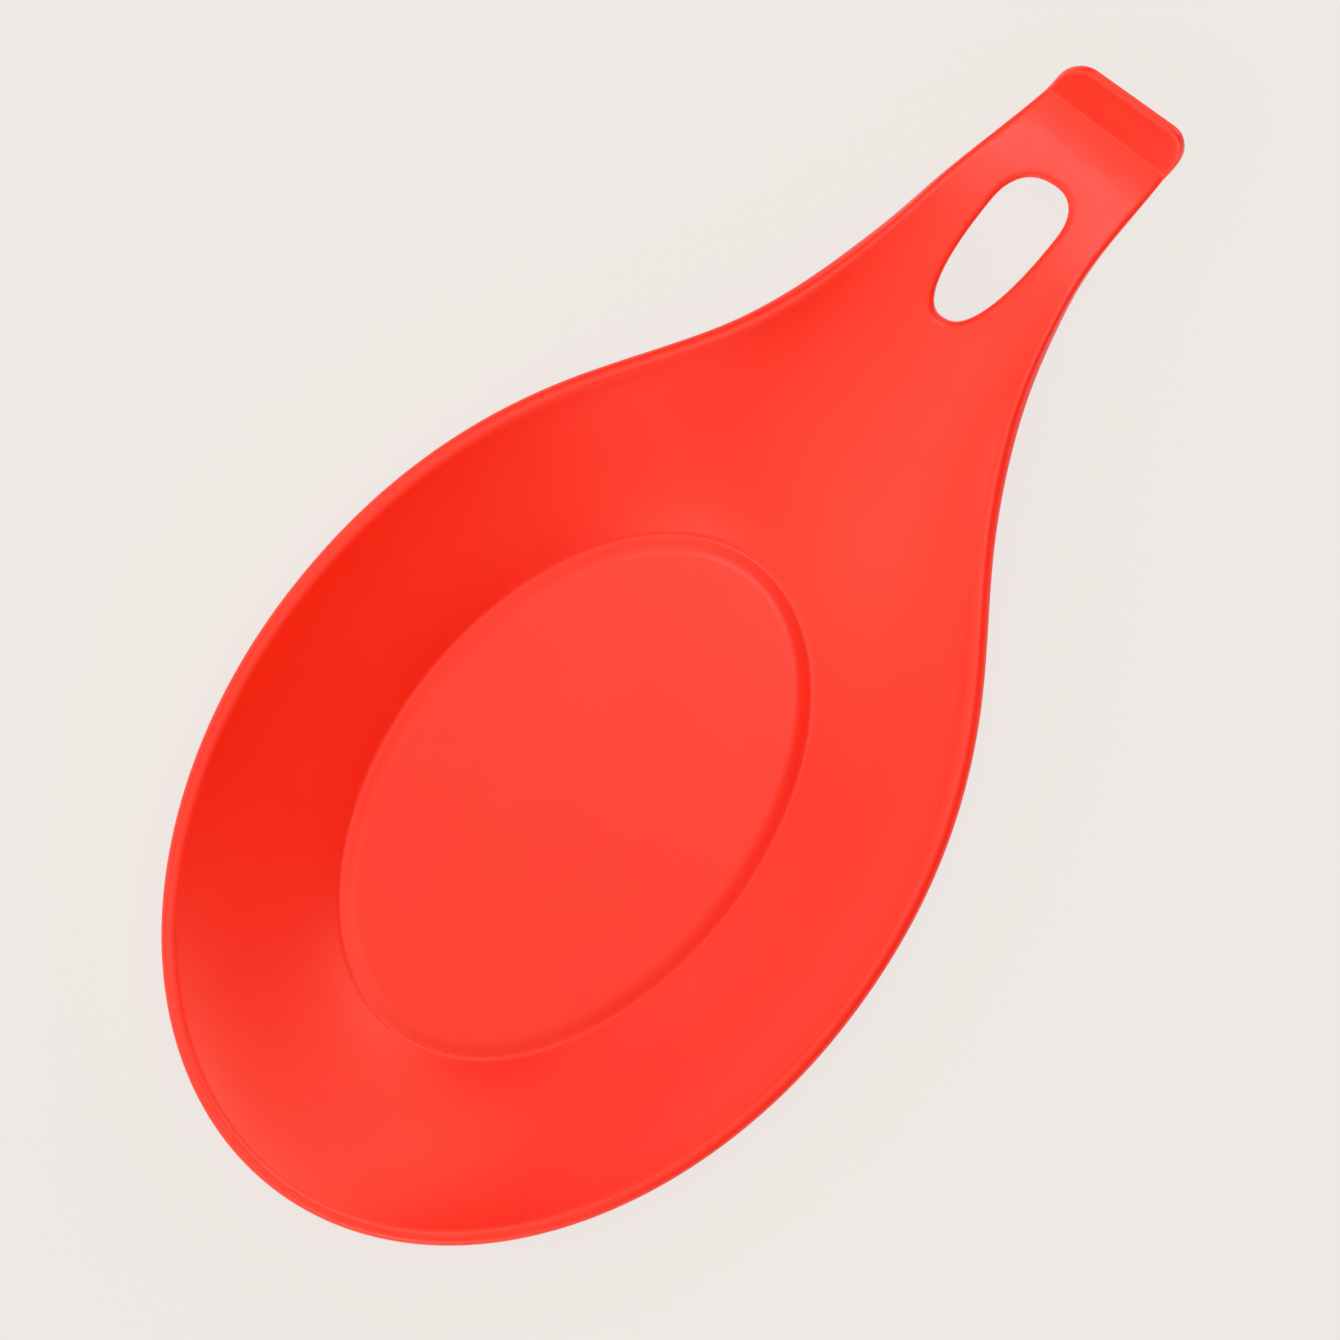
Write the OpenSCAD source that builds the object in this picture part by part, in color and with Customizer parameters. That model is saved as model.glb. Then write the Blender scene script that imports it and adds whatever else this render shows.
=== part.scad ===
// Spoon rest moulded in one piece of silicone: an egg-shaped dish with a raised oval floor
// panel, a ramp up the neck, a handle with a hanging slot and an upturned lip at its tip.
// X runs from the bowl to the tip of the handle, Z is up, and the foot stands on z = 0.

/* [Overall] */
// Length from the back of the bowl to the tip of the handle
rest_l = 195; // [180:1:215]
// Greatest width, across the bowl
rest_w = 99; // [88:1:112]
// Height of the rim's outer edge above the table
rim_h = 16.5; // [14:0.5:20]
// Thickness of the silicone, with rounded edges
wall_t = 2.8; // [1.8:0.1:3]

/* [Bowl] */
// Distance from the back of the bowl to its widest place
bowl_back_l = 67.5; // [60:0.5:75]
// Distance from the widest place to the shoulder, where the flank turns in
shoulder_run_l = 48; // [42:0.5:54]
// Width across the shoulder
shoulder_w = 73; // [66:0.2:80]
// Distance from the shoulder to the neck, where the flank turns along the handle
neck_run_l = 18; // [15:0.5:22]
// Width across the neck
neck_w = 49.6; // [44:0.2:56]
// How much of the wall's rise bends upwards, from straight at 0 to a parabola at 1
wall_curve_share = 0.1; // [0:0.05:0.6]

/* [Floor panel] */
// Length of the oval that the groove follows
oval_l = 84; // [74:0.5:92]
// Width of the oval that the groove follows
oval_w = 54.4; // [46:0.2:62]
// Distance from the back of the bowl to the middle of the oval
oval_back_l = 69.4; // [64:0.2:75]
// Width of the slope from the panel down into the groove
groove_w = 2.8; // [2.4:0.1:4]
// Depth of the groove below the panel
groove_d = 0.7; // [0.4:0.05:0.9]
// Width over which the groove rounds up into the wall
groove_round_w = 1.5; // [0.8:0.1:2.5]
// Depth of the flat on the underside of the groove, which is the foot
foot_flat_d = 0.2; // [0.1:0.05:0.4]

/* [Handle] */
// Width of the handle where the lip starts
handle_w = 20.8; // [18:0.2:25]
// Half width lost for each unit of length where the lip starts
handle_taper_share = 0.1; // [0.02:0.01:0.15]
// How square the edges get from the neck to the slot, from the bowl's half round at 2 upwards
tip_edge_power = 4; // [2:0.5:6]
// How fast the ramp climbs the neck, as a share of the wall's rate
ramp_share = 0.75; // [0.4:0.05:0.9]
// Length of handle, before the lip, over which the channel fades out
fade_l = 50; // [46:1:62]
// Sideways swing of the soft handle between the neck and the slot
handle_sway = 0.6; // [0:0.1:1.5]
// Length of handle, after the neck, over which it swings out
sway_l = 24; // [18:1:32]
// Sideways set back the other way that the handle has taken at its tip
tip_set = 2.75; // [0:0.05:4]
// Length of handle, before the tip, that has taken the set
tip_set_l = 28; // [22:1:36]
// Height that the handle sweeps up before the lip
sweep_rise = 0.7; // [0:0.1:1.5]
// Length of handle that sweeps up
sweep_l = 6; // [4:0.5:10]

/* [Hanging slot] */
// Greatest width of the slot
slot_w = 10.5; // [8:0.1:12]
// Length of the slot from its widest place towards the tip
slot_front_l = 6.7; // [5:0.1:8]
// Length of the slot from its widest place towards the bowl
slot_back_l = 17.3; // [13:0.1:19]
// Distance from the slot's widest place to the tip of the handle
slot_tip_l = 23.1; // [21:0.1:26]
// Fullness of the slot's round ends, from an ellipse at 2 upwards
slot_full_power = 2.4; // [2:0.1:3]
// Turn of the slot towards the side that the tip is set to
slot_turn = 1.1; // [0:0.1:3]
// Share by which the slot's ends lean askew
slot_skew_share = 0.14; // [0:0.01:0.2]

/* [Lip] */
// Height that the lip rises above the end of the handle
lip_rise = 7.6; // [6:0.1:9]
// Steepness of the lip
lip_angle = 57; // [50:1:65]
// Radius of the bend into the lip
lip_bend_r = 2.5; // [1.6:0.1:3]
// Thickness of the lip at its end, to which it thins from the bend
lip_edge_t = 1.4; // [1:0.1:2.8]
// Size of the lip's round corners across the lip
lip_corner_w = 3.8; // [2:0.1:6]
// Size of the lip's round corners up the lip
lip_corner_l = 6.4; // [4:0.1:8]
// Share by which the lip's end runs askew
lip_skew_share = 0.04; // [0:0.01:0.1]

/* [Hidden] */

// Colour of the silicone
silicone = [0.98, 0.22, 0.15];
// Overrun of every cut
overrun = 1;
// Spacing of the two points from which a slope is taken
probe = 0.05;

// Counts of facets: along the front and back of the bowl's edge, across the handle, up the
// wall, across the groove, round the edge, along the handle, round the bend, up the lip and
// round the slot
front_n = 14;
back_n = 18;
across_n = 10;
wall_n = 6;
groove_n = 5;
round_n = 3;
handle_n = 18;
bend_n = 5;
lip_n = 3;
slot_n = 48;
// How the facets crowd towards the neck's edge along the bowl, and spread away from it across
crowd_power = 1.4;
spread_share = 0.3;

// Places along X
back_x = -rest_l / 2;
tip_x = rest_l / 2;
widest_x = back_x + bowl_back_l;
shoulder_x = widest_x + shoulder_run_l;
neck_x = shoulder_x + neck_run_l;
oval_x = back_x + oval_back_l;
slot_x = tip_x - slot_tip_l;

// How far an edge of a given squareness stands out past the end of a leaning wall's middle line,
// where the wall has thinned to a share of its thickness
half_round_power = 2;
edge_r = wall_t / 2;
function edge_out(lean, power, thin_share = 1) =
    let (q = power / (power - 1))
    edge_r * (pow(pow(cos(lean), q) + pow(thin_share * sin(lean), q), 1 / q) - cos(lean));

// The lip: how far it thins, its slope at the start, its flat above the bend, its developed
// length and the place where it starts
lip_half_w = handle_w / 2;
lip_thin_share = lip_edge_t / wall_t;
sweep_angle = atan(2 * sweep_rise / sweep_l);
lip_flat_l = (lip_rise - lip_bend_r * (cos(sweep_angle) - cos(lip_angle))) / sin(lip_angle);
bend_l = lip_bend_r * (lip_angle - sweep_angle) * PI / 180;
lip_l = bend_l + lip_flat_l;
lip_out = edge_out(lip_angle, tip_edge_power, lip_thin_share);
lip_end_x = tip_x - lip_out - lip_skew_share * (lip_half_w - lip_corner_w);
bend_x = lip_end_x - lip_bend_r * (sin(lip_angle) - sin(sweep_angle)) - lip_flat_l * cos(lip_angle);

// Height of the middle of the wall at the groove, and the ends of the stretch that levels out
groove_z = edge_r - foot_flat_d;
fade_x = bend_x - fade_l;
flat_x = bend_x - lip_bend_r;

// How far the rounded rim stands out past the wall's middle line, and that line's own sizes
function rim_out(run) =
    edge_out(atan((rim_h - groove_z) * (1 + wall_curve_share) / run), half_round_power);
side_out = rim_out((rest_w - oval_w) / 2);
back_out = rim_out(oval_back_l - oval_l / 2);
bowl_half_w = rest_w / 2 - side_out;
bowl_half_l = bowl_back_l - back_out;

// Step from 0 to 1 with level ends
function smooth(t) =
    let (u = min(1, max(0, t)))
    u * u * (3 - 2 * u);

// Cubic from a to b with end rates ra and rb, and its own rate
function cubic(t, a, b, ra, rb) =
    a + ra * t + (3 * (b - a) - 2 * ra - rb) * t * t + (2 * (a - b) + ra + rb) * t * t * t;
function cubic_rate(t, a, b, ra, rb) =
    ra + 2 * (3 * (b - a) - 2 * ra - rb) * t + 3 * (2 * (a - b) + ra + rb) * t * t;

// The flank is a spline through the half widths at the widest place, the shoulder, the neck
// and the start of the lip. Its slopes at the shoulder and neck make its bend run on evenly.
flank_xs = [widest_x, shoulder_x, neck_x, bend_x];
flank_ws = [bowl_half_w, shoulder_w / 2 - side_out, neck_w / 2 - side_out, lip_half_w];
flank_runs = [for (i = [0 : 2]) flank_xs[i + 1] - flank_xs[i]];
flank_pulls = [for (i = [0 : 2]) 3 * (flank_ws[i + 1] - flank_ws[i]) / pow(flank_runs[i], 2)];
shoulder_hold = 2 / flank_runs[0] + 2 / flank_runs[1];
neck_hold = 2 / flank_runs[1] + 2 / flank_runs[2];
shoulder_pull = flank_pulls[0] + flank_pulls[1];
neck_pull = flank_pulls[1] + flank_pulls[2] + handle_taper_share / flank_runs[2];
joint_hold = shoulder_hold * neck_hold - 1 / pow(flank_runs[1], 2);
flank_slopes = [
    0,
    (shoulder_pull * neck_hold - neck_pull / flank_runs[1]) / joint_hold,
    (neck_pull * shoulder_hold - shoulder_pull / flank_runs[1]) / joint_hold,
    -handle_taper_share
];

// Half width of the flank and its rate along X
function flank_part(x) = x < shoulder_x ? 0 : x < neck_x ? 1 : 2;
function flank(x) =
    let (i = flank_part(x))
    let (run = flank_runs[i])
    cubic((x - flank_xs[i]) / run, flank_ws[i], flank_ws[i + 1],
        flank_slopes[i] * run, flank_slopes[i + 1] * run);
function flank_rate(x) =
    let (i = flank_part(x))
    let (run = flank_runs[i])
    cubic_rate((x - flank_xs[i]) / run, flank_ws[i], flank_ws[i + 1],
        flank_slopes[i] * run, flank_slopes[i + 1] * run) / run;

// Square of the outline's half width, and half of that square's rate along X. The back is
// half an ellipse.
function half_w_sq(x) =
    let (u = (x - widest_x) / bowl_half_l)
    x <= widest_x ? pow(bowl_half_w, 2) * (1 - u * u) : pow(flank(x), 2);
function half_w_pull(x) =
    x <= widest_x
        ? -pow(bowl_half_w / bowl_half_l, 2) * (x - widest_x)
        : flank(x) * flank_rate(x);
function half_w(x) = sqrt(max(0, half_w_sq(x)));

// Sideways place of the handle's middle line
function set_y(x) =
    handle_sway * smooth((x - neck_x) / sway_l) - tip_set * smooth((x - tip_x) / tip_set_l + 1);

// Height that the sweep before the lip adds to the handle
function sweep(x) = sweep_rise * pow(max(0, (x - bend_x) / sweep_l + 1), 2);

// Distance inside the outline, and distance outside the oval
function edge_gap(x, y) =
    let (s = y - set_y(x))
    (half_w_sq(x) - s * s) / (2 * norm([half_w(x), half_w_pull(x)]));
function oval_gap(x, y) =
    let (u = (x - oval_x) / (oval_l / 2))
    let (t = y / (oval_w / 2))
    (u * u + t * t - 1) / (2 * norm([u / (oval_l / 2), t / (oval_w / 2)]));

// Distance that starts from the oval with a rounded foot
function round_up(d) =
    let (u = min(groove_round_w, max(0, d)))
    max(0, d) - u + u * u / (2 * groove_round_w);

// Height of the middle of the wall. It rises from the groove to the rim by the share of the
// way from the oval to the outline, more slowly up the neck, levels out along the handle and
// sweeps up before the lip.
function mid_z(x, y) =
    let (d = oval_gap(x, y))
    let (slow = 1 - (1 - ramp_share) * smooth((x - oval_x) / oval_l))
    let (out = slow * round_up(d))
    let (v = out / (out + edge_gap(x, y)))
    let (rise = v * (1 - wall_curve_share * (1 - v)))
    let (panel = groove_d * (1 - smooth((d + groove_w) / groove_w)))
    let (dish_z = groove_z + (rim_h - groove_z) * rise + panel)
    let (level = smooth((x - fade_x) / (flat_x - fade_x)))
    dish_z + (rim_h - dish_z) * level + sweep(x);

// Squareness of the edge along X, and half thickness at a distance from an edge of that squareness
function edge_power(x) =
    half_round_power + (tip_edge_power - half_round_power) * smooth((x - neck_x) / (slot_x - neck_x));
function half_t(gap, power) =
    let (u = min(1, max(0, gap / edge_r)))
    edge_r * pow(1 - pow(1 - u, power), 1 / power);

// A point of the dish or handle on its upper side (1) or its underside (-1)
function skin(x, y, side) =
    let (rate_x = (mid_z(x + probe, y) - mid_z(x - probe, y)) / (2 * probe))
    let (rate_y = (mid_z(x, y + probe) - mid_z(x, y - probe)) / (2 * probe))
    let (steep = norm([rate_x, rate_y, 1]))
    let (n = [-rate_x, -rate_y, 1] / steep)
    [x, y, mid_z(x, y)] + side * half_t(edge_gap(x, y) * steep, edge_power(x)) * n;

// Half width of the lip at a developed length from its start, with round corners
function lip_w(s) =
    let (c = max(0, (s - lip_l) / lip_corner_l + 1))
    lip_half_w - lip_corner_w * (1 - sqrt(max(0, 1 - c * c)));

// Distance inside the edge of the lip, whose corners are quarters of an ellipse
function lip_gap(s, t) =
    let (across = (abs(t) - lip_half_w) / lip_corner_w + 1)
    let (along = (s - lip_l) / lip_corner_l + 1)
    min(across, along) > 0
        ? (1 - across * across - along * along)
            / (2 * norm([across / lip_corner_w, along / lip_corner_l]))
        : min(lip_half_w - abs(t), lip_l - s);

// A point of the lip at a developed length and a share across, on its upper side (1) or
// its underside (-1). The lip thins and leans askew towards its end.
function lip_skin(s, share, side) =
    let (turn = sweep_angle + min(s / bend_l, 1) * (lip_angle - sweep_angle))
    let (flat = max(0, s - bend_l))
    let (x = bend_x + lip_bend_r * (sin(turn) - sin(sweep_angle)) + flat * cos(turn))
    let (z = rim_h + sweep_rise + lip_bend_r * (cos(sweep_angle) - cos(turn)) + flat * sin(turn))
    let (t = share * lip_w(s))
    let (thin = 1 - (1 - lip_thin_share) * smooth(s / lip_l))
    let (h = side * thin * half_t(lip_gap(s, t), tip_edge_power))
    [x - h * sin(turn) - lip_skew_share * t * s / lip_l, t + set_y(x), z + h * cos(turn)];

// Shares of the way from a rounded edge's start to the edge itself
round_shares = [for (i = [1 : round_n]) sin(90 * i / round_n)];

// Places across the handle as shares of its half width, closer at the rounded edges
edge_share = edge_r / lip_half_w;
half_across_shares = concat(
    [for (i = [0 : across_n / 2]) (1 - edge_share) * i / (across_n / 2)],
    [for (r = round_shares) 1 - edge_share * (1 - r)]
);
half_n = len(half_across_shares) - 1;
across_shares = concat(
    [for (i = [half_n : -1 : 1]) -half_across_shares[i]],
    half_across_shares
);
column_n = len(across_shares);

// The loop round the bowl, seen from above: across the neck, then along the edge to the back
// of the bowl and along the other edge to the neck again
neck_line = [for (s = across_shares) [neck_x, s * half_w(neck_x)]];
far_edge = concat(
    [for (i = [1 : front_n]) let (x = neck_x + (widest_x - neck_x) * pow(i / front_n, crowd_power))
        [x, half_w(x)]],
    [for (i = [1 : back_n]) let (a = 90 * i / back_n)
        [widest_x - bowl_half_l * sin(a), bowl_half_w * cos(a)]]
);
near_edge = [for (i = [len(far_edge) - 2 : -1 : 0]) [far_edge[i].x, -far_edge[i].y]];
bowl_loop = concat(neck_line, far_edge, near_edge);
loop_n = len(bowl_loop);

// Rings of the bowl between the panel and that loop, on rays from the middle of the oval
function ray(p, share) = [oval_x + share * (p.x - oval_x), share * p.y];
function oval_share(p) = 1 / norm([(p.x - oval_x) / (oval_l / 2), p.y / (oval_w / 2)]);
function ring_shares(p) =
    let (reach = norm([p.x - oval_x, p.y]))
    let (rim = 1 - (edge_r + spread_share * edge_gap(p.x, p.y)) / reach)
    let (low = oval_share(p))
    let (foot = low + groove_round_w / reach)
    concat(
        [for (i = [0 : groove_n]) low * (1 - groove_w / (oval_w / 2) * (1 - i / groove_n))],
        [for (i = [0 : wall_n]) foot + (rim - foot) * i / wall_n],
        [for (r = round_shares) rim + (1 - rim) * r]
    );
loop_shares = [for (p = bowl_loop) ring_shares(p)];
ring_n = len(loop_shares[0]);

// Stations along the handle and the lip, closer at the rounded tip
handle_xs = [for (i = [1 : handle_n]) neck_x + (bend_x - neck_x) * i / handle_n];
lip_ss = concat(
    [for (i = [1 : bend_n]) bend_l * i / bend_n],
    [for (i = [1 : lip_n]) bend_l + (lip_flat_l - edge_r) * i / lip_n],
    [for (r = round_shares) lip_l - edge_r * (1 - r)]
);
station_n = len(handle_xs) + len(lip_ss);

// All points of one side: the rings of the bowl, then the stations of the handle and lip
function side_points(side) = concat(
    [for (i = [0 : ring_n - 1]) for (j = [0 : loop_n - 1])
        let (p = ray(bowl_loop[j], loop_shares[j][i])) skin(p.x, p.y, side)],
    [for (x = handle_xs) for (s = across_shares) skin(x, set_y(x) + s * half_w(x), side)],
    [for (s = lip_ss) for (share = across_shares) lip_skin(s, share, side)]
);
side_n = ring_n * loop_n + station_n * column_n;

// Number of a point. The underside shares the upper side's points along the outline, and the
// handle's first station is the neck's stretch of the outer ring.
function ring_at(side, i, j) =
    let (k = j % loop_n)
    let (outline = i == ring_n - 1 && (k == 0 || k >= column_n - 1))
    (side < 0 && !outline ? side_n : 0) + i * loop_n + k;
function station_at(side, i, j) =
    let (outline = i == station_n || j == 0 || j == column_n - 1)
    i == 0
        ? ring_at(side, ring_n - 1, j)
        : (side < 0 && !outline ? side_n : 0) + ring_n * loop_n + (i - 1) * column_n + j;

// Two triangles that face the given side and meet along the line from a to c. Across the handle
// and lip that line leans outwards on both halves, so a corner of the lip has none on its edge.
function patch(side, a, b, c, d) =
    side > 0 ? [[a, d, c], [a, c, b]] : [[a, b, c], [a, c, d]];
function side_faces(side) = concat(
    [for (i = [0 : ring_n - 2]) for (j = [0 : loop_n - 1])
        each patch(side, ring_at(side, i, j), ring_at(side, i + 1, j),
            ring_at(side, i + 1, j + 1), ring_at(side, i, j + 1))],
    [for (i = [0 : station_n - 1]) for (j = [0 : half_n - 1])
        each patch(side, station_at(side, i + 1, j), station_at(side, i + 1, j + 1),
            station_at(side, i, j + 1), station_at(side, i, j))],
    [for (i = [0 : station_n - 1]) for (j = [half_n : column_n - 2])
        each patch(side, station_at(side, i, j), station_at(side, i + 1, j),
            station_at(side, i + 1, j + 1), station_at(side, i, j + 1))]
);
function panel_face(side) = [
    for (j = [0 : loop_n - 1]) ring_at(side, 0, side > 0 ? loop_n - 1 - j : j)
];

// The whole skin of the dish, neck, handle and lip
module shell() {
    polyhedron(
        points = concat(side_points(1), side_points(-1)),
        faces = concat([panel_face(-1), panel_face(1)], side_faces(-1), side_faces(1))
    );
}

// Everything below the table, which leaves the foot a flat ring
module below_table() {
    translate([back_x - overrun, -rest_w / 2 - overrun, -wall_t - overrun])
        cube([rest_l + 2 * overrun, rest_w + 2 * overrun, wall_t + overrun]);
}

// A point of the slot's outline, which is two halves of a full oval that meet at its widest place
function slot_point(a) =
    let (l = cos(a) > 0 ? slot_front_l : slot_back_l)
    let (x = l * sign(cos(a)) * pow(abs(cos(a)), 2 / slot_full_power))
    let (y = slot_w / 2 * sign(sin(a)) * pow(abs(sin(a)), 2 / slot_full_power))
    [x - slot_skew_share * y, y];

module hanging_slot() {
    translate([slot_x, 0, 0])
        rotate(-slot_turn)
            linear_extrude(rim_h + wall_t)
                polygon([for (i = [0 : slot_n - 1]) slot_point(360 * i / slot_n)]);
}

module moulded_body() {
    color(silicone)
        difference() {
            shell();
            below_table();
            hanging_slot();
        }
}

moulded_body();
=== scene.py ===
"""Spoon rest moulded in one piece of red silicone, on a pale table, seen from straight above."""
import math

import bmesh
import bpy
import numpy as np
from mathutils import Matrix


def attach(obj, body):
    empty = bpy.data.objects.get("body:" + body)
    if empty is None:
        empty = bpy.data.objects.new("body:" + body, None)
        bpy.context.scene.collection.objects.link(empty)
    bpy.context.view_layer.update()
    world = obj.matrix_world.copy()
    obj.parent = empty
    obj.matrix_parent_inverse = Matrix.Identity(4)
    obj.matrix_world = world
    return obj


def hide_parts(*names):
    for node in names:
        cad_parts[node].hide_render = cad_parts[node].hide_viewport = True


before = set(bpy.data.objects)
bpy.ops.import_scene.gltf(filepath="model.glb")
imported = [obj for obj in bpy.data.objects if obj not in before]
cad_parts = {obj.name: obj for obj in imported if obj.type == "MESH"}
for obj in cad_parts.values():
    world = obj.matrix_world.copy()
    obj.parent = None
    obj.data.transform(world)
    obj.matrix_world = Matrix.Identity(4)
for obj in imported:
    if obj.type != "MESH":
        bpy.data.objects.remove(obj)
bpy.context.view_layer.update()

# Sizes of the spoon rest in metres. X runs from the bowl to the tip of the handle, Z is up.
REST_L = 0.195
REST_W = 0.099
RIM_H = 0.0165
EDGE_R = 0.0014
BACK_X = -REST_L / 2
TIP_X = REST_L / 2

# The bowl and its flank
BOWL_BACK_L = 0.0675
SHOULDER_RUN_L = 0.048
NECK_RUN_L = 0.018
WIDEST_X = BACK_X + BOWL_BACK_L
SHOULDER_X = WIDEST_X + SHOULDER_RUN_L
NECK_X = SHOULDER_X + NECK_RUN_L
SHOULDER_W = 0.073
NECK_W = 0.0496
WALL_CURVE_SHARE = 0.1

# The oval floor panel and the groove round it
OVAL_L = 0.084
OVAL_W = 0.0544
OVAL_BACK_L = 0.0694
OVAL_X = BACK_X + OVAL_BACK_L
GROOVE_W = 0.0028
GROOVE_D = 0.0007
GROOVE_ROUND_W = 0.0015
FOOT_FLAT_D = 0.0002
GROOVE_Z = EDGE_R - FOOT_FLAT_D

# The handle, its ramp, its edges and its soft sideways sway
HANDLE_W = 0.0208
HANDLE_TAPER_SHARE = 0.1
HALF_ROUND_POWER = 2
TIP_EDGE_POWER = 4
RAMP_SHARE = 0.75
FADE_L = 0.05
HANDLE_SWAY = 0.0006
SWAY_L = 0.024
TIP_SET = 0.00275
TIP_SET_L = 0.028
SWEEP_RISE = 0.0007
SWEEP_L = 0.006

# The hanging slot, with the width over which its edge rounds off
SLOT_W = 0.0105
SLOT_FRONT_L = 0.0067
SLOT_BACK_L = 0.0173
SLOT_TIP_L = 0.0231
SLOT_X = TIP_X - SLOT_TIP_L
SLOT_FULL_POWER = 2.4
SLOT_TURN = math.radians(1.1)
SLOT_SKEW_SHARE = 0.14
SLOT_ROUND_W = 0.0015


def edge_out(lean, power, thin_share=1.0):
    """How far an edge stands out past the end of a leaning wall's middle line: the reach of a rounded
    square of that power, thinned to a share, in the level direction, less the middle line's own."""
    q = power / (power - 1)
    reach = (math.cos(lean) ** q + (thin_share * math.sin(lean)) ** q) ** (1 / q)
    return EDGE_R * (reach - math.cos(lean))


# The lip at the tip
LIP_RISE = 0.0076
LIP_ANGLE = math.radians(57)
LIP_BEND_R = 0.0025
LIP_THIN_SHARE = 0.5
LIP_CORNER_W = 0.0038
LIP_CORNER_L = 0.0064
LIP_SKEW_SHARE = 0.04
LIP_HALF_W = HANDLE_W / 2
SWEEP_ANGLE = math.atan(2 * SWEEP_RISE / SWEEP_L)
LIP_FLAT_L = (LIP_RISE - LIP_BEND_R * (math.cos(SWEEP_ANGLE) - math.cos(LIP_ANGLE))) / math.sin(LIP_ANGLE)
BEND_L = LIP_BEND_R * (LIP_ANGLE - SWEEP_ANGLE)
LIP_L = BEND_L + LIP_FLAT_L
LIP_OUT = edge_out(LIP_ANGLE, TIP_EDGE_POWER, LIP_THIN_SHARE)
LIP_END_X = TIP_X - LIP_OUT - LIP_SKEW_SHARE * (LIP_HALF_W - LIP_CORNER_W)
BEND_RUN_L = LIP_BEND_R * (math.sin(LIP_ANGLE) - math.sin(SWEEP_ANGLE))
BEND_X = LIP_END_X - BEND_RUN_L - LIP_FLAT_L * math.cos(LIP_ANGLE)
FADE_X = BEND_X - FADE_L
LEVEL_X = BEND_X - LIP_BEND_R

# Counts of mesh rows, how they crowd along the bowl's front edge and spread away from the rim, and how far
# the close rows reach past a rounded edge
PANEL_N, GROOVE_N, FOOT_N, WALL_N, ROUND_N = 6, 14, 4, 36, 8
FRONT_N, BACK_N, ACROSS_N = 90, 100, 16
RAMP_N, SLOT_SIDE_N, SLOT_ROW_N, SWEEP_N, BEND_N, LIP_N = 16, 60, 14, 8, 12, 8
CROWD_POWER = 1.4
SPREAD_SHARE = 0.3
NEAR_SHARE = 1.3
# Handle kept clear before and after the slot's ring of faces
SLOT_MARGIN = 0.006
# Half the spacing of the points from which a slope is taken, a weld distance, and a number too small to
# matter
PROBE = 5e-5
WELD = 5e-6
TINY = 1e-12


def rim_out(run):
    """How far a rounded rim stands out past the wall's middle line, from the wall's slope at the rim."""
    return edge_out(math.atan((RIM_H - GROOVE_Z) * (1 + WALL_CURVE_SHARE) / run), HALF_ROUND_POWER)


SIDE_OUT = rim_out((REST_W - OVAL_W) / 2)
BOWL_HALF_W = REST_W / 2 - SIDE_OUT
BOWL_HALF_L = WIDEST_X - BACK_X - rim_out(OVAL_BACK_L - OVAL_L / 2)


def flank_spline():
    """Places, half widths, runs and slopes of the flank's cubic spline: the slopes at the shoulder and neck
    make its bend run on evenly there, level at the widest place and tapering where the lip starts."""
    places = np.array([WIDEST_X, SHOULDER_X, NECK_X, BEND_X])
    widths = np.array([BOWL_HALF_W, SHOULDER_W / 2 - SIDE_OUT, NECK_W / 2 - SIDE_OUT, LIP_HALF_W])
    runs = np.diff(places)
    pulls = 3 * np.diff(widths) / runs ** 2
    hold = np.array([[2 / runs[0] + 2 / runs[1], 1 / runs[1]], [1 / runs[1], 2 / runs[1] + 2 / runs[2]]])
    pull = np.array([pulls[0] + pulls[1], pulls[1] + pulls[2] + HANDLE_TAPER_SHARE / runs[2]])
    slopes = np.concatenate([[0.0], np.linalg.solve(hold, pull), [-HANDLE_TAPER_SHARE]])
    return places, widths, runs, slopes


FLANK_XS, FLANK_WS, FLANK_RUNS, FLANK_SLOPES = flank_spline()


def smooth(t):
    """Step from 0 to 1 with level ends: three t squared less two t cubed."""
    u = np.clip(t, 0, 1)
    return u * u * (3 - 2 * u)


def flank(x):
    """Half width of the flank and its slope at x: the cubic of the spline's stretch that holds x."""
    i = np.where(x < SHOULDER_X, 0, np.where(x < NECK_X, 1, 2))
    run = FLANK_RUNS[i]
    t = (x - FLANK_XS[i]) / run
    a, b = FLANK_WS[i], FLANK_WS[i + 1]
    ra, rb = FLANK_SLOPES[i] * run, FLANK_SLOPES[i + 1] * run
    c2, c3 = 3 * (b - a) - 2 * ra - rb, 2 * (a - b) + ra + rb
    return a + t * (ra + t * (c2 + t * c3)), (ra + t * (2 * c2 + 3 * t * c3)) / run


def half_width(x):
    """Square of the outline's half width and half that square's rate along x: half an ellipse at the back
    of the bowl, the flank in front of the widest place."""
    u = (x - WIDEST_X) / BOWL_HALF_L
    width, slope = flank(x)
    back = x <= WIDEST_X
    square = np.where(back, BOWL_HALF_W ** 2 * (1 - u * u), width ** 2)
    pull = np.where(back, -BOWL_HALF_W ** 2 * u / BOWL_HALF_L, width * slope)
    return square, pull


def half_w(x):
    """Half width of the outline at x."""
    return np.sqrt(np.maximum(0, half_width(x)[0]))


def set_y(x):
    """Sideways place of the handle's middle line: one smooth step out after the neck, one back at the
    tip."""
    return HANDLE_SWAY * smooth((x - NECK_X) / SWAY_L) - TIP_SET * smooth((x - TIP_X) / TIP_SET_L + 1)


def edge_gap(x, y):
    """Distance inside the outline: half width squared less sideways place squared, over its own rate."""
    square, pull = half_width(x)
    side = y - set_y(x)
    return (square - side * side) / (2 * np.hypot(np.sqrt(np.maximum(0, square)), pull))


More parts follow.
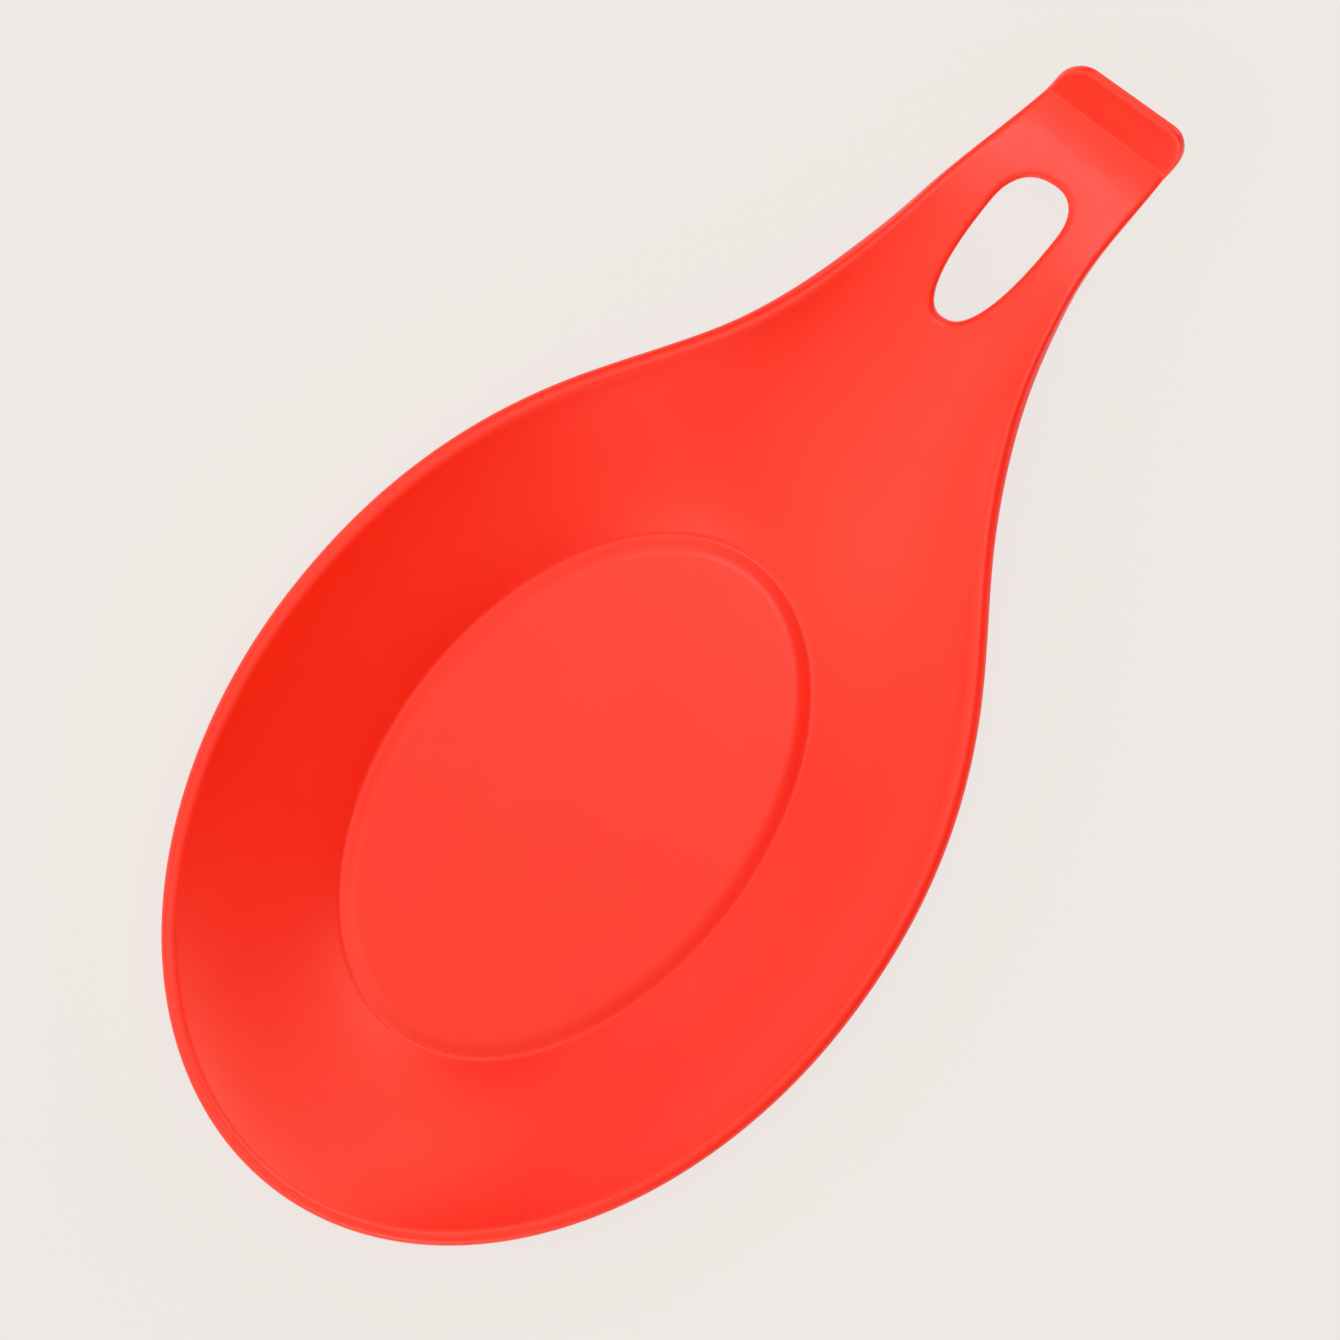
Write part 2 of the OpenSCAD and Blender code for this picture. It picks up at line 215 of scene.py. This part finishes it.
def slot_level(x, y):
    """1 on the slot's outline and more outside it: the root of the summed powers of the two shares of the
    slot's half sizes, along and across, in the slot's own turned and skewed axes."""
    along, across = x - SLOT_X, y
    px = along * math.cos(SLOT_TURN) - across * math.sin(SLOT_TURN)
    py = along * math.sin(SLOT_TURN) + across * math.cos(SLOT_TURN)
    px = px + SLOT_SKEW_SHARE * py
    px = np.abs(px) / np.where(px > 0, SLOT_FRONT_L, SLOT_BACK_L)
    py = np.abs(py) / (SLOT_W / 2)
    return (px ** SLOT_FULL_POWER + py ** SLOT_FULL_POWER) ** (1 / SLOT_FULL_POWER)


def slot_gap(x, y):
    """Distance outside the slot: its level less one, over the level's own rate."""
    rate_x = (slot_level(x + PROBE, y) - slot_level(x - PROBE, y)) / (2 * PROBE)
    rate_y = (slot_level(x, y + PROBE) - slot_level(x, y - PROBE)) / (2 * PROBE)
    return (slot_level(x, y) - 1) / (np.hypot(rate_x, rate_y) + TINY)


def slot_edge(angle):
    """A point of the slot's outline: powers of the cosine and sine, skewed, turned and set in place."""
    c, s = np.cos(angle), np.sin(angle)
    x = np.where(c > 0, SLOT_FRONT_L, SLOT_BACK_L) * np.sign(c) * np.abs(c) ** (2 / SLOT_FULL_POWER)
    y = SLOT_W / 2 * np.sign(s) * np.abs(s) ** (2 / SLOT_FULL_POWER)
    x = x - SLOT_SKEW_SHARE * y
    return (SLOT_X + x * math.cos(SLOT_TURN) + y * math.sin(SLOT_TURN),
            -x * math.sin(SLOT_TURN) + y * math.cos(SLOT_TURN))


def oval_gap(x, y):
    """Distance outside the floor panel's oval: the summed squares of the shares of its half sizes less one,
    over their rate."""
    u = (x - OVAL_X) / (OVAL_L / 2)
    t = y / (OVAL_W / 2)
    return (u * u + t * t - 1) / (2 * np.hypot(u / (OVAL_L / 2), t / (OVAL_W / 2)) + TINY)


def round_up(d):
    """Distance that starts from the oval with a rounded foot: a parabola over the foot's width, then one
    for one."""
    u = np.clip(d, 0, GROOVE_ROUND_W)
    return np.maximum(0, d) - u + u * u / (2 * GROOVE_ROUND_W)


def mid_z(x, y):
    """Height of the middle of the wall: it climbs from the groove to the rim by the share of the way from
    the oval to the outline, more slowly up the neck, levels out along the handle and sweeps up at its end.
    The floor panel stands proud of the groove by one smooth step."""
    d = oval_gap(x, y)
    slow = 1 - (1 - RAMP_SHARE) * smooth((x - OVAL_X) / OVAL_L)
    out = slow * round_up(d)
    v = out / (out + edge_gap(x, y))
    rise = v * (1 - WALL_CURVE_SHARE * (1 - v))
    panel = GROOVE_D * (1 - smooth((d + GROOVE_W) / GROOVE_W))
    dish = GROOVE_Z + (RIM_H - GROOVE_Z) * rise + panel
    level = smooth((x - FADE_X) / (LEVEL_X - FADE_X))
    sweep = SWEEP_RISE * np.maximum(0, (x - BEND_X) / SWEEP_L + 1) ** 2
    return dish + (RIM_H - dish) * level + sweep


def edge_power(x):
    """Squareness of the edge at x: the bowl's half round, one smooth step up from the neck to the slot."""
    return HALF_ROUND_POWER + (TIP_EDGE_POWER - HALF_ROUND_POWER) * smooth((x - NECK_X) / (SLOT_X - NECK_X))


def half_t(gap, power):
    """Half thickness at a distance from an edge: the height of a rounded square of that power."""
    u = np.clip(gap / EDGE_R, 0, 1)
    return EDGE_R * (1 - (1 - u) ** power) ** (1 / power)


def skin(x, y, side, gap):
    """Points of the dish or handle on its upper side (1) or underside (-1): the middle of the wall plus
    half the thickness along its normal. The foot is flat on the table."""
    rate_x = (mid_z(x + PROBE, y) - mid_z(x - PROBE, y)) / (2 * PROBE)
    rate_y = (mid_z(x, y + PROBE) - mid_z(x, y - PROBE)) / (2 * PROBE)
    steep = np.sqrt(rate_x ** 2 + rate_y ** 2 + 1)
    h = side * half_t(gap(x, y) * steep, edge_power(x)) / steep
    return np.stack([x - h * rate_x, y - h * rate_y, np.maximum(0, mid_z(x, y) + h)], axis=-1)


def lip_skin(s, share, side):
    """Points of the lip at a developed length s and a share across: an arc and then a straight flat, with
    half the thickness along the normal, which thins by one smooth step, round corners, and an end that runs
    askew."""
    turn = SWEEP_ANGLE + np.minimum(s / BEND_L, 1) * (LIP_ANGLE - SWEEP_ANGLE)
    flat = np.maximum(0, s - BEND_L)
    x = BEND_X + LIP_BEND_R * (np.sin(turn) - math.sin(SWEEP_ANGLE)) + flat * np.cos(turn)
    z = RIM_H + SWEEP_RISE + LIP_BEND_R * (math.cos(SWEEP_ANGLE) - np.cos(turn)) + flat * np.sin(turn)
    along = (s - LIP_L) / LIP_CORNER_L + 1
    corner = np.sqrt(np.maximum(0, 1 - np.maximum(0, along) ** 2))
    t = share * (LIP_HALF_W - LIP_CORNER_W * (1 - corner))
    across = (np.abs(t) - LIP_HALF_W) / LIP_CORNER_W + 1
    rate = 2 * np.hypot(across / LIP_CORNER_W, along / LIP_CORNER_L)
    gap = np.where(np.minimum(across, along) > 0,
                   (1 - across ** 2 - along ** 2) / (rate + TINY),
                   np.minimum(LIP_HALF_W - np.abs(t), LIP_L - s))
    thin = 1 - (1 - LIP_THIN_SHARE) * smooth(s / LIP_L)
    h = side * thin * half_t(gap, TIP_EDGE_POWER)
    skew = LIP_SKEW_SHARE * t * s / LIP_L
    return np.stack([x - h * np.sin(turn) - skew, t + set_y(x), z + h * np.cos(turn)], axis=-1)


def rows(start, end, count):
    """Even steps from start to end, without the start."""
    return start + (end - start) * np.arange(1, count + 1) / count


# Shares of the way out to a rounded edge, at even turns of the half round
ROUND_SHARES = np.sin(rows(0, math.pi / 2, ROUND_N))
EDGE_SHARE = EDGE_R / LIP_HALF_W
HALF_ACROSS = np.concatenate([rows(0, 1 - EDGE_SHARE, ACROSS_N), 1 - EDGE_SHARE * (1 - ROUND_SHARES)])
ACROSS = np.concatenate([-HALF_ACROSS[::-1], [0.0], HALF_ACROSS])


def bowl_patch(side):
    """Rings of the bowl on rays from the middle of the oval to a loop: across the neck, then round the
    outline. Rows are close at the groove and at the rounded rim."""
    front_x = NECK_X + (WIDEST_X - NECK_X) * rows(0, 1, FRONT_N) ** CROWD_POWER
    back_a = rows(0, math.pi / 2, BACK_N)
    edge_x = np.concatenate([front_x, WIDEST_X - BOWL_HALF_L * np.sin(back_a)])
    edge_y = np.concatenate([half_w(front_x), BOWL_HALF_W * np.cos(back_a)])
    x = np.concatenate([np.full(len(ACROSS), NECK_X), edge_x, edge_x[-2::-1]])
    y = np.concatenate([ACROSS * half_w(NECK_X), edge_y, -edge_y[-2::-1]])
    reach = np.hypot(x - OVAL_X, y)
    oval = 1 / np.hypot((x - OVAL_X) / (OVAL_L / 2), y / (OVAL_W / 2))
    panel = oval * (1 - GROOVE_W / (OVAL_W / 2))
    foot = oval + GROOVE_ROUND_W / reach
    rim = 1 - (EDGE_R + SPREAD_SHARE * edge_gap(x, y)) / reach
    steps = [np.zeros((1, len(x)))]
    for start, end, shares in ((0 * panel, panel, rows(0, 1, PANEL_N)), (panel, oval, rows(0, 1, GROOVE_N)),
                               (oval, foot, rows(0, 1, FOOT_N)), (foot, rim, rows(0, 1, WALL_N)),
                               (rim, 1 + 0 * rim, ROUND_SHARES)):
        steps.append(start + (end - start) * shares[:, None])
    share = np.concatenate(steps)
    return skin(OVAL_X + share * (x - OVAL_X), share * y, side, edge_gap)


def handle_patch(start, end, count, side):
    """Stations across the handle from start to end."""
    x = np.linspace(start, end, count + 1)[:, None] + 0 * ACROSS
    return skin(x, set_y(x) + ACROSS * half_w(x), side, edge_gap)


def slot_patch(start, end, side):
    """Ring of faces from the slot's outline out to two stations and the two edges between them. Rows are
    close at both rounded edges, and the half thickness comes from the nearer edge."""
    run = rows(start, end, SLOT_SIDE_N)[:-1]
    width = half_w(run)
    x = np.concatenate([np.full(len(ACROSS), start), run, np.full(len(ACROSS), end), run[::-1]])
    y = np.concatenate([set_y(start) + ACROSS * half_w(start), set_y(run) + width,
                        set_y(end) - ACROSS * half_w(end), set_y(run[::-1]) - width[::-1]])
    corner = math.pi / 4
    turn = rows(3 * corner, corner, SLOT_SIDE_N)[:-1]
    angle = np.concatenate([math.pi - corner * ACROSS, turn, -corner * ACROSS, turn - math.pi])
    hole_x, hole_y = slot_edge(angle)
    reach = np.hypot(x - hole_x, y - hole_y)
    near_slot, near_edge = NEAR_SHARE * SLOT_ROUND_W / reach, NEAR_SHARE * EDGE_R / reach
    inner = near_slot * (1 - np.concatenate([ROUND_SHARES[::-1], [0.0]]))[:, None]
    middle = near_slot + (1 - near_slot - near_edge) * rows(0, 1, SLOT_ROW_N)[:, None]
    outer = 1 - near_edge * (1 - ROUND_SHARES)[:, None]
    share = np.concatenate([inner, middle, outer])
    return skin(hole_x + share * (x - hole_x), hole_y + share * (y - hole_y), side,
                lambda u, v: np.minimum(edge_gap(u, v), slot_gap(u, v) * EDGE_R / SLOT_ROUND_W))


def lip_patch(side):
    """Stations up the lip from the handle's end to the rounded tip."""
    s = np.concatenate([rows(0, BEND_L, BEND_N), rows(BEND_L, LIP_L - EDGE_R, LIP_N),
                        LIP_L - EDGE_R * (1 - ROUND_SHARES)])
    start = handle_patch(BEND_X, BEND_X, 0, side)
    return np.concatenate([start, lip_skin(s[:, None] + 0 * ACROSS, ACROSS + 0 * s[:, None], side)])


def moulded_body():
    """One closed skin from the patches of both sides, welded along the outline, the slot and the seams."""
    slot_start = SLOT_X - SLOT_BACK_L - SLOT_MARGIN
    slot_end = SLOT_X + SLOT_FRONT_L + SLOT_MARGIN
    points, faces, count = [], [], 0
    for side in (1, -1):
        for grid, closed in ((bowl_patch(side), True),
                             (handle_patch(NECK_X, slot_start, RAMP_N, side), False),
                             (slot_patch(slot_start, slot_end, side), True),
                             (handle_patch(slot_end, BEND_X, SWEEP_N, side), False),
                             (lip_patch(side), False)):
            height, width = grid.shape[:2]
            at = count + np.arange(height * width).reshape(height, width)
            if closed:
                at = np.concatenate([at, at[:, :1]], axis=1)
            quad = np.stack([at[:-1, :-1], at[1:, :-1], at[1:, 1:], at[:-1, 1:]], axis=-1).reshape(-1, 4)
            points.append(grid.reshape(-1, 3))
            faces.append(quad[:, ::side])
            count += height * width
    mesh = bpy.data.meshes.new("moulded_body_silicone")
    mesh.from_pydata(np.concatenate(points), [], np.concatenate(faces).tolist())
    work = bmesh.new()
    work.from_mesh(mesh)
    bmesh.ops.remove_doubles(work, verts=work.verts, dist=WELD)
    bmesh.ops.recalc_face_normals(work, faces=work.faces)
    work.to_mesh(mesh)
    work.free()
    mesh.polygons.foreach_set("use_smooth", np.ones(len(mesh.polygons), dtype=bool))
    body = bpy.data.objects.new("moulded_body_silicone", mesh)
    bpy.context.collection.objects.link(body)
    return body


def node(tree, kind, place, **settings):
    """A shader node with its settings and the values of its named sockets."""
    made = tree.nodes.new(kind)
    made.location = place
    for name, value in settings.items():
        if name in made.inputs:
            made.inputs[name].default_value = value
        else:
            setattr(made, name, value)
    return made


def linear(red, green, blue):
    """Linear light of a colour written as it shows on a screen, from 0 to 255."""
    shown = np.array([red, green, blue]) / 255
    light = np.where(shown <= 0.04045, shown / 12.92, ((shown + 0.055) / 1.055) ** 2.4)
    return (*light.tolist(), 1.0)


# The silicone: its two reds and the shares between which they blend, its refraction, the range of its
# roughness, and for cloud, bloom and grain the count of waves in a metre
RED_DEEP = linear(251, 36, 16)
RED_WARM = linear(254, 40, 19)
DEEP_SHARE, WARM_SHARE = 0.35, 0.65
SILICONE_IOR = 1.54
GLOSS_MIN, GLOSS_MAX = 0.30, 0.38
CLOUD_SCALE, BLOOM_SCALE, GRAIN_SCALE = 55, 420, 2600
GRAIN_STRENGTH, GRAIN_D = 0.25, 0.00003


def red_silicone():
    """Satin silicone: a faint cloudiness of two reds, a roughness that varies, and a fine moulded grain."""
    material = bpy.data.materials.new("satin_red_silicone")
    material.use_nodes = True
    tree = material.node_tree
    shader = tree.nodes["Principled BSDF"]
    shader.inputs["IOR"].default_value = SILICONE_IOR
    place = node(tree, "ShaderNodeTexCoord", (-1000, 0))

    def noise(scale, detail, y):
        made = node(tree, "ShaderNodeTexNoise", (-800, y), Scale=scale, Detail=detail, Roughness=0.55)
        tree.links.new(place.outputs["Object"], made.inputs["Vector"])
        return made

    cloud = noise(CLOUD_SCALE, 4, 300)
    blend = node(tree, "ShaderNodeValToRGB", (-500, 300))
    blend.color_ramp.elements[0].position = DEEP_SHARE
    blend.color_ramp.elements[0].color = RED_DEEP
    blend.color_ramp.elements[1].position = WARM_SHARE
    blend.color_ramp.elements[1].color = RED_WARM
    tree.links.new(cloud.outputs["Fac"], blend.inputs["Fac"])
    tree.links.new(blend.outputs["Color"], shader.inputs["Base Color"])

    bloom = noise(BLOOM_SCALE, 3, 0)
    gloss = node(tree, "ShaderNodeMapRange", (-500, 0), **{"To Min": GLOSS_MIN, "To Max": GLOSS_MAX})
    tree.links.new(bloom.outputs["Fac"], gloss.inputs["Value"])
    tree.links.new(gloss.outputs["Result"], shader.inputs["Roughness"])

    grain = noise(GRAIN_SCALE, 2, -300)
    bump = node(tree, "ShaderNodeBump", (-500, -300), Strength=GRAIN_STRENGTH, Distance=GRAIN_D)
    tree.links.new(grain.outputs["Fac"], bump.inputs["Height"])
    tree.links.new(bump.outputs["Normal"], shader.inputs["Normal"])
    return material


# The table: half its size, how far it lies below the foot, its colour, and the share of that colour that
# shows whatever the light
TABLE_HALF_L = 1.5
TABLE_LOW = 0.00002
TABLE_COLOUR = linear(238, 234, 231)
TABLE_SHOWN_SHARE = 0.9


def pale_table():
    """A wide plain table whose colour shows almost evenly to the camera and still takes the soft shadow."""
    corners = np.array([[-1, -1, 0], [1, -1, 0], [1, 1, 0], [-1, 1, 0]]) * TABLE_HALF_L - [0, 0, TABLE_LOW]
    mesh = bpy.data.meshes.new("table_top")
    mesh.from_pydata(corners, [], [(0, 1, 2, 3)])
    table = bpy.data.objects.new("table_top", mesh)
    bpy.context.collection.objects.link(table)
    material = bpy.data.materials.new("pale_table")
    material.use_nodes = True
    tree = material.node_tree
    tree.nodes.clear()
    matte = node(tree, "ShaderNodeBsdfDiffuse", (-300, 100), Color=TABLE_COLOUR)
    glow = node(tree, "ShaderNodeEmission", (-300, -100), Color=TABLE_COLOUR, Strength=1.0)
    path = node(tree, "ShaderNodeLightPath", (-1100, 300))
    mirrored = node(tree, "ShaderNodeMath", (-900, 300), operation="MAXIMUM")
    seen = node(tree, "ShaderNodeMath", (-700, 300), operation="MAXIMUM")
    share = node(tree, "ShaderNodeMath", (-500, 300), operation="MULTIPLY")
    share.inputs[1].default_value = TABLE_SHOWN_SHARE
    mix = node(tree, "ShaderNodeMixShader", (-100, 0))
    out = node(tree, "ShaderNodeOutputMaterial", (100, 0))
    tree.links.new(path.outputs["Is Glossy Ray"], mirrored.inputs[0])
    tree.links.new(path.outputs["Is Transmission Ray"], mirrored.inputs[1])
    tree.links.new(path.outputs["Is Camera Ray"], seen.inputs[0])
    tree.links.new(mirrored.outputs[0], seen.inputs[1])
    tree.links.new(seen.outputs[0], share.inputs[0])
    tree.links.new(share.outputs[0], mix.inputs[0])
    tree.links.new(matte.outputs[0], mix.inputs[1])
    tree.links.new(glow.outputs[0], mix.inputs[2])
    tree.links.new(mix.outputs[0], out.inputs["Surface"])
    mesh.materials.append(material)
    return table


def soft_lamp(name, azimuth, elevation, distance, size, power):
    """A soft round lamp aimed at the middle of the spoon rest. Azimuth 0 is towards the handle's tip."""
    lamp = bpy.data.lights.new(name, "AREA")
    lamp.shape = "DISK"
    lamp.size = size
    lamp.energy = power
    piece = bpy.data.objects.new(name, lamp)
    a, e = math.radians(azimuth), math.radians(elevation)
    piece.location = (distance * math.cos(e) * math.cos(a), distance * math.cos(e) * math.sin(a),
                      distance * math.sin(e))
    piece.rotation_euler = (0, math.pi / 2 - e, a)
    bpy.context.collection.objects.link(piece)


# Azimuths of three sides of the picture, from the handle's tip
TOP_SIDE, LEFT_SIDE, BOTTOM_SIDE = 38, 128, 218
# Soft glows of the studio: azimuth, elevation, sharpness and strength. The right side of the picture has
# only a low one, so the dish's left wall has no shine.
CEILING = (LEFT_SIDE, 72, 8, 0.7)
LEFT_WINDOW = (LEFT_SIDE + 20, 50, 8, 1.4)
TOP_WINDOW = (TOP_SIDE, 52, 16, 1.6)
BOTTOM_FILL = (BOTTOM_SIDE + 30, 58, 12, 0.8)
GLOW_PAST_TIP = (0, 18, 12, 1.8)
LOW_RIGHT_GLOW = (330, 5, 16, 2.6)
GLOW_PAST_BOWL = (210, 8, 12, 2.4)
# A low arc of even glows along the left side of the picture, by their turns from it
ARC_TURNS = (-40, -10, 20, 50, 80)
LOW_ARC = [(LEFT_SIDE + turn, 6, 16, 1.0) for turn in ARC_TURNS]
GLOW_TINT = (1.0, 0.88, 0.66, 1.0)


def studio_light(glows):
    """A studio that is all soft light: each glow falls off from its own direction as the exponent of its
    sharpness times the cosine of the angle less one, and the glows add up."""
    world = bpy.data.worlds.new("studio")
    bpy.context.scene.world = world
    world.use_nodes = True
    tree = world.node_tree
    sky = tree.nodes["Background"]
    sky.inputs["Color"].default_value = GLOW_TINT
    place = node(tree, "ShaderNodeTexCoord", (-1200, 0))
    total = None
    for i, (azimuth, elevation, sharpness, strength) in enumerate(glows):
        a, e = math.radians(azimuth), math.radians(elevation)
        near = node(tree, "ShaderNodeVectorMath", (-1000, -200 * i), operation="DOT_PRODUCT")
        near.inputs[1].default_value = (math.cos(e) * math.cos(a), math.cos(e) * math.sin(a), math.sin(e))
        fall = node(tree, "ShaderNodeMath", (-800, -200 * i), operation="MULTIPLY_ADD")
        fall.inputs[1].default_value = sharpness
        fall.inputs[2].default_value = -sharpness
        glow = node(tree, "ShaderNodeMath", (-600, -200 * i), operation="EXPONENT")
        add = node(tree, "ShaderNodeMath", (-400, -200 * i), operation="MULTIPLY_ADD")
        add.inputs[1].default_value = strength
        add.inputs[2].default_value = 0.0
        tree.links.new(place.outputs["Generated"], near.inputs[0])
        tree.links.new(near.outputs["Value"], fall.inputs[0])
        tree.links.new(fall.outputs[0], glow.inputs[0])
        tree.links.new(glow.outputs[0], add.inputs[0])
        if total:
            tree.links.new(total.outputs[0], add.inputs[2])
        total = add
    tree.links.new(total.outputs[0], sky.inputs["Strength"])


# The camera: its height over the rim, the width that it sees there, the middle of the picture, and its turn
VIEW_H = 1.25
VIEW_W = 0.1883
VIEW_X, VIEW_Y = -0.00573, 0.00046
VIEW_TURN = math.radians(-52.25)
SENSOR_W = 36.0


def camera_above():
    """A camera straight above, turned so that the handle points up and to the right."""
    lens = bpy.data.cameras.new("camera")
    lens.sensor_width = SENSOR_W
    lens.lens = SENSOR_W * VIEW_H / VIEW_W
    camera = bpy.data.objects.new("camera", lens)
    camera.location = (VIEW_X, VIEW_Y, RIM_H + VIEW_H)
    camera.rotation_euler = (0, 0, VIEW_TURN)
    bpy.context.collection.objects.link(camera)
    bpy.context.scene.camera = camera


body = moulded_body()
body.data.materials.append(red_silicone())
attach(body, "root")
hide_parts("moulded_body")
pale_table()

studio_light([CEILING, LEFT_WINDOW, TOP_WINDOW, BOTTOM_FILL, GLOW_PAST_TIP, LOW_RIGHT_GLOW, GLOW_PAST_BOWL,
              *LOW_ARC])
soft_lamp("lamp_over_handle", azimuth=0, elevation=75, distance=0.5, size=0.15, power=0.25)
soft_lamp("lamp_by_rim", azimuth=90, elevation=30, distance=0.15, size=0.08, power=0.012)
camera_above()

bpy.context.scene.view_settings.view_transform = "Standard"
